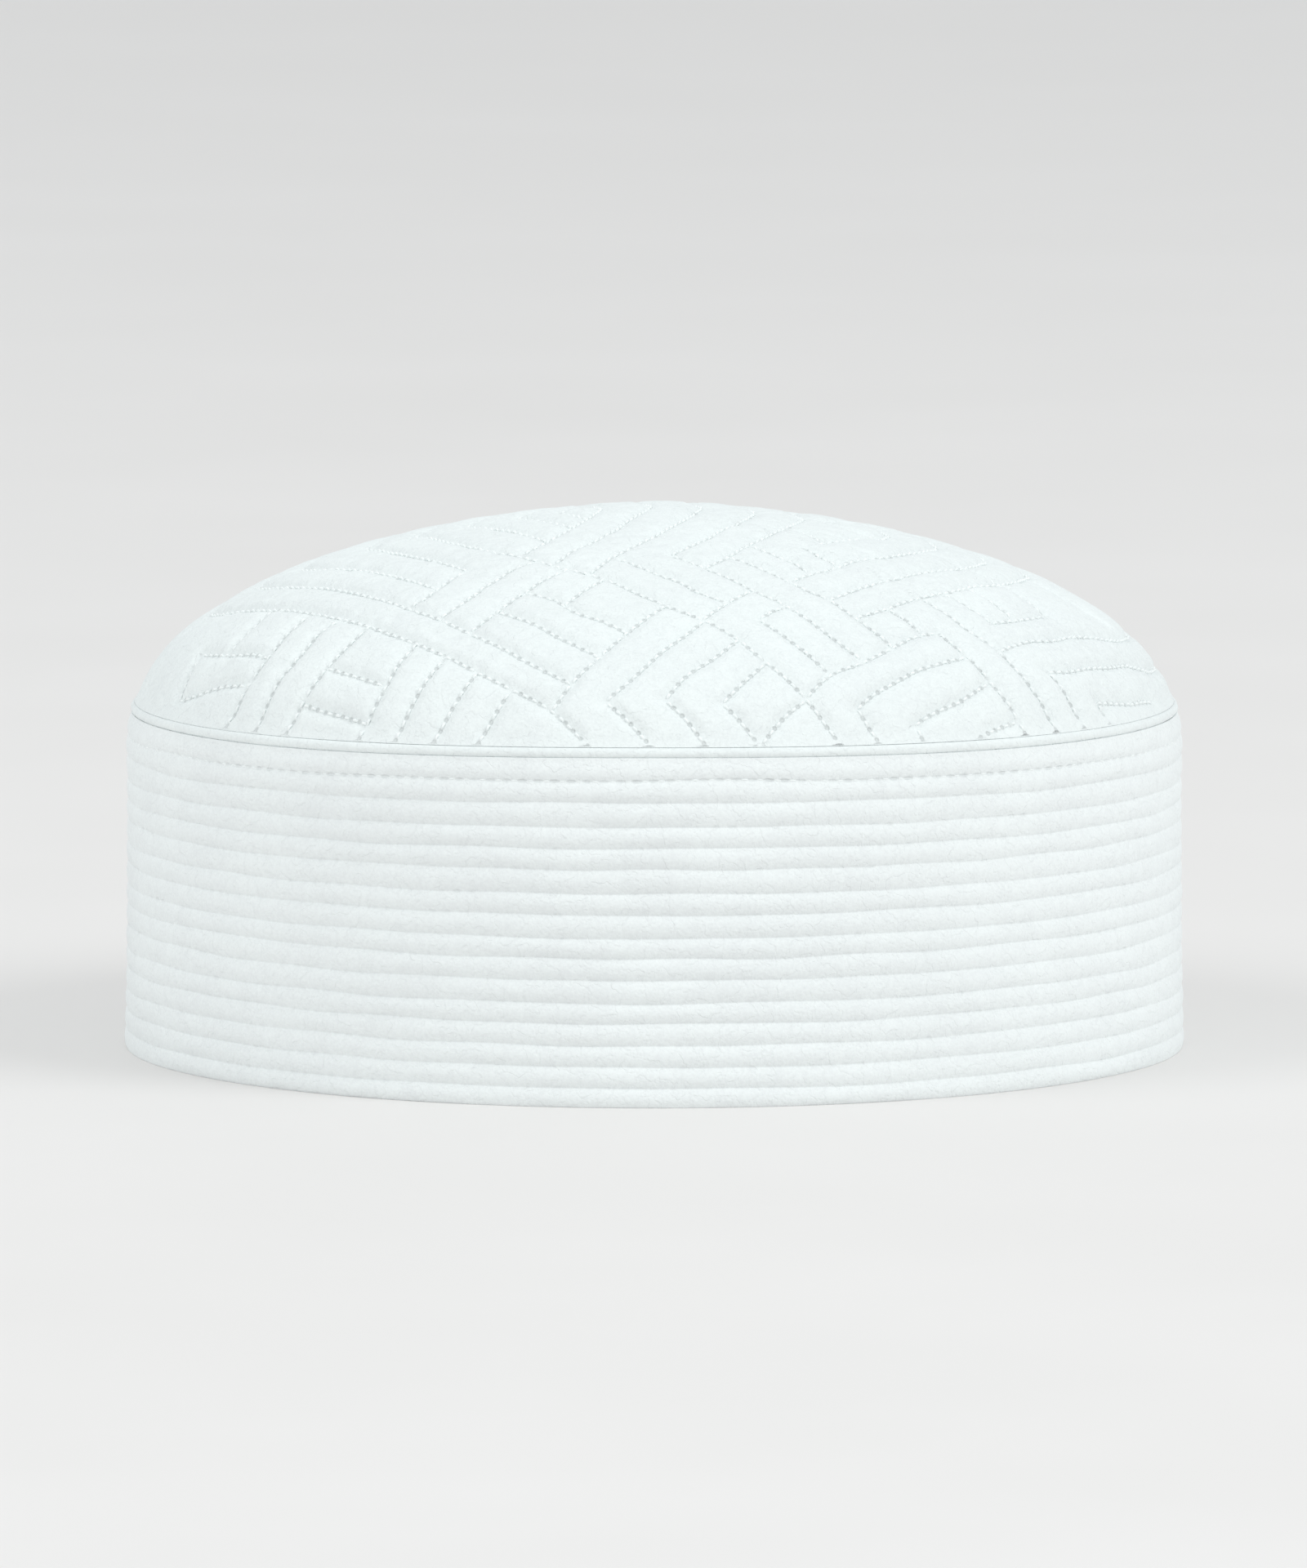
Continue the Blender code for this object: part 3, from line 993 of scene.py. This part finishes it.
def make_band_stitches(valleys, material):
    """Threads along the valley below the top rib. In the other valleys they lie hidden in the cloth."""
    numbers = random_numbers(salt=950)
    count = band_stitch_count()
    grid = np.arange(BAND_COLUMNS + 1) * math.tau / BAND_COLUMNS
    valley = np.append(valleys[CLEAR_VALLEY], valleys[CLEAR_VALLEY][0])
    places = stitch_places(0, count, numbers) - stitch_shift(CLEAR_VALLEY)
    turned = (places / count * math.tau) % math.tau
    angle = BACK_ANGLE + turned
    height = np.interp(turned, grid, valley)
    sink = BAND_THREAD_SINK_MM + numbers.normal(0, SINK_UNEVENNESS_MM, (len(places), 1))
    radius = crest_radius(height) - rib_rise(angle) + np.array(THREAD_LIFT_MM)[None] - sink
    centres = turned_ring(radius, height, angle)
    ups = turned_ring(1.0, 0.0, angle)
    thread_loops("band_stitches", centres, ups, BAND_THREAD_MM, material)


# Materials


class Nodes:
    """Short calls for the nodes of one material."""

    def __init__(self, name):
        self.material = bpy.data.materials.new(name)
        self.material.use_nodes = True
        self.tree = self.material.node_tree
        self.shader = self.tree.nodes["Principled BSDF"]

    def add(self, kind, settings=None, values=None):
        node = self.tree.nodes.new(kind)
        for key, value in (settings or {}).items():
            setattr(node, key, value)
        self.fill(node, values or {})
        return node

    def fill(self, node, values):
        """Links or sets the inputs of a node."""
        for key, value in values.items():
            if hasattr(value, "is_linked"):
                self.tree.links.new(value, node.inputs[key])
            else:
                node.inputs[key].default_value = value

    def place(self):
        return self.add("ShaderNodeTexCoord").outputs["Object"]

    def math(self, operation, first, second=0.0, third=0.0):
        node = self.add("ShaderNodeMath", {"operation": operation}, {0: first, 1: second, 2: third})
        return node.outputs[0]

    def total(self, *parts):
        """The sum of (value, weight) parts."""
        products = [self.math("MULTIPLY", value, weight) for value, weight in parts]
        total = products[0]
        for product in products[1:]:
            total = self.math("ADD", total, product)
        return total

    def ramp(self, value, low, high, start=0.0, end=1.0):
        """value from low to high, turned smoothly into start to end."""
        settings = {"interpolation_type": "SMOOTHSTEP"}
        values = {"Value": value, "From Min": low, "From Max": high, "To Min": start, "To Max": end}
        return self.add("ShaderNodeMapRange", settings, values).outputs[0]

    def noise(self, place, size_mm, detail, roughness):
        values = {"Vector": place, "Scale": 1 / (size_mm * MM), "Detail": detail, "Roughness": roughness}
        return self.add("ShaderNodeTexNoise", None, values).outputs[0]

    def mix(self, share, first, second):
        node = self.add("ShaderNodeMix", {"data_type": "RGBA"}, {0: share, 6: first, 7: second})
        return node.outputs[2]

    def bump(self, height, strength, distance_mm):
        values = {"Strength": strength, "Distance": distance_mm * MM, "Height": height}
        return self.add("ShaderNodeBump", None, values).outputs[0]


def cloth_material(name, light, shade, holes):
    """Brushed cloth: a fine fuzzy grain, a soft bloom at grazing angles, faint unevenness in the colour."""
    nodes = Nodes(name)
    place = nodes.place()
    grain = nodes.noise(place, size_mm=0.55, detail=4.0, roughness=0.62)
    tufts = nodes.noise(place, size_mm=2.2, detail=3.0, roughness=0.55)
    drift = nodes.noise(place, size_mm=14.0, detail=2.0, roughness=0.5)
    speck = nodes.ramp(nodes.noise(place, size_mm=0.8, detail=2.0, roughness=0.5), low=0.60, high=0.74)
    folds = nodes.noise(place, size_mm=3.4, detail=3.0, roughness=0.5)
    fold = nodes.ramp(nodes.math("ABSOLUTE", nodes.math("SUBTRACT", folds, 0.5)), low=0.0, high=0.05)

    tone = nodes.total((grain, 0.55), (tufts, 0.3), (drift, 0.25))
    colour = nodes.mix(nodes.ramp(tone, low=0.36, high=0.72), shade, light)
    height = nodes.total((grain, 0.7), (tufts, 0.5), (speck, -0.15), (fold, 0.4))
    if holes:
        seam = nodes.add("ShaderNodeAttribute", {"attribute_name": "seam"}).outputs["Vector"]
        hole = hole_mask(nodes, seam, holes)
        # Painted shade: the colour is greyed in each needle hole, as the shadow in its dip; the dip itself
        # is the bump below
        colour = nodes.mix(nodes.math("MULTIPLY", hole, holes.darkness), colour, HOLE_SHADE_GREY)
        height = nodes.total((height, 1.0), (hole, -1.6))
    look = {
        "Base Color": colour,
        "Roughness": nodes.ramp(tufts, low=0.3, high=0.7, start=0.82, end=0.96),
        "Normal": nodes.bump(height, strength=0.75, distance_mm=0.18),
        "Specular IOR Level": 0.25,
        "Sheen Weight": 0.22,
        "Sheen Roughness": 0.55,
        "Sheen Tint": SHEEN_TINT,
    }
    nodes.fill(nodes.shader, look)
    return nodes.material


def hole_mask(nodes, seam, holes):
    """1 in each needle hole along a seam, and 0 away from it. seam is (distance, strength, stitches)."""
    parts = nodes.add("ShaderNodeSeparateXYZ", None, {0: seam}).outputs
    across = nodes.math("DIVIDE", parts["X"], holes.width_mm / 2)
    part = nodes.math("FRACT", nodes.math("ADD", parts["Z"], 0.5))
    ahead = nodes.math("SUBTRACT", part, 0.5)
    ahead = nodes.math("MULTIPLY", ahead, 2 * holes.stitch_mm / holes.length_mm)
    squares = nodes.math("ADD", nodes.math("MULTIPLY", across, across), nodes.math("MULTIPLY", ahead, ahead))
    inside = nodes.ramp(nodes.math("SQRT", squares), low=0.35, high=1.25, start=1.0, end=0.0)
    return nodes.math("MULTIPLY", inside, parts["Y"])


def thread_material():
    """Twisted thread, with a fine ply and a little sheen."""
    nodes = Nodes("thread")
    place = nodes.place()
    ply = nodes.noise(place, size_mm=0.22, detail=3.0, roughness=0.6)
    drift = nodes.noise(place, size_mm=3.0, detail=2.0, roughness=0.5)
    tone = nodes.total((ply, 0.6), (drift, 0.4))
    look = {
        "Base Color": nodes.mix(nodes.ramp(tone, low=0.3, high=0.65), THREAD_GREY, THREAD_WHITE),
        "Roughness": nodes.ramp(ply, low=0.3, high=0.7, start=0.38, end=0.6),
        "Normal": nodes.bump(ply, strength=0.6, distance_mm=0.06),
        "Sheen Weight": 0.2,
    }
    nodes.fill(nodes.shader, look)
    return nodes.material


# Studio


def make_floor():
    mesh = bpy.data.meshes.new("studio_floor")
    rim = turned_ring(FLOOR_RADIUS, 0.0, np.arange(FLOOR_SIDES) * math.tau / FLOOR_SIDES)
    mesh.from_pydata(rim.tolist(), [], [list(range(FLOOR_SIDES))])
    floor = in_scene("studio_floor", mesh)
    nodes = Nodes("pale_floor")
    cloud = nodes.noise(nodes.place(), size_mm=160.0, detail=4.0, roughness=0.55)
    look = {
        "Base Color": nodes.mix(cloud, FLOOR_DARK, FLOOR_LIGHT),
        "Roughness": nodes.ramp(cloud, low=0.2, high=0.8, start=0.5, end=0.7),
        "Specular IOR Level": 0.3,
    }
    nodes.fill(nodes.shader, look)
    mesh.materials.append(nodes.material)


def make_lamp(name, place, power):
    """A round soft lamp that faces the cap."""
    light = bpy.data.lights.new(name, "AREA")
    light.shape = "DISK"
    light.size = LAMP_SIZE
    light.energy = power
    light.color = LAMP_WHITE
    lamp = in_scene(name, light)
    lamp.location = place
    away = np.array(LAMP_AIM) - np.array(place)
    reach = np.linalg.norm(away)
    lamp.rotation_mode = "XYZ"
    lamp.rotation_euler = (math.acos(-away[2] / reach), 0, math.atan2(away[1], away[0]) - math.pi / 2)


def make_lights():
    make_lamp("key_light", place=(2.5, -1.5, 2.6), power=43.0)
    make_lamp("fill_light", place=(-2.3, -1.3, 2.4), power=23.0)
    world = bpy.data.worlds.new("soft_room")
    bpy.context.scene.world = world
    world.use_nodes = True
    background = world.node_tree.nodes["Background"]
    background.inputs["Color"].default_value = ROOM_WHITE
    background.inputs["Strength"].default_value = ROOM_LIGHT


def make_camera():
    """A viewpoint far away, a little above the cap and almost level with it."""
    data = bpy.data.cameras.new("camera")
    camera = in_scene("camera", data)
    camera.location = CAMERA_PLACE
    camera.rotation_euler = (math.radians(90 - CAMERA_DOWN_DEGREES), 0.0, 0.0)
    data.sensor_width = CAMERA_SENSOR
    data.lens = CAMERA_LENS
    data.clip_end = FAR_CLIP
    bpy.context.scene.camera = camera


def main():
    bpy.context.scene.view_settings.view_transform = "Standard"
    crown_cloth = cloth_material("quilted_cloth", CLOTH_WHITE, CLOTH_GREY, CROWN_HOLES)
    band_cloth = cloth_material("corded_cloth", BOUNCE_LIT_BAND_WHITE, BOUNCE_LIT_BAND_GREY, BAND_HOLES)
    piping_cloth = cloth_material("piping_cloth", CLOTH_WHITE, CLOTH_GREY, None)
    thread = thread_material()

    lines = quilt_lines()
    outside = make_crown(lines, crown_cloth)
    valleys = make_band(band_cloth)
    make_piping(piping_cloth)
    make_crown_stitches(lines, outside, thread)
    make_band_stitches(valleys, thread)
    make_floor()
    make_lights()
    make_camera()


main()
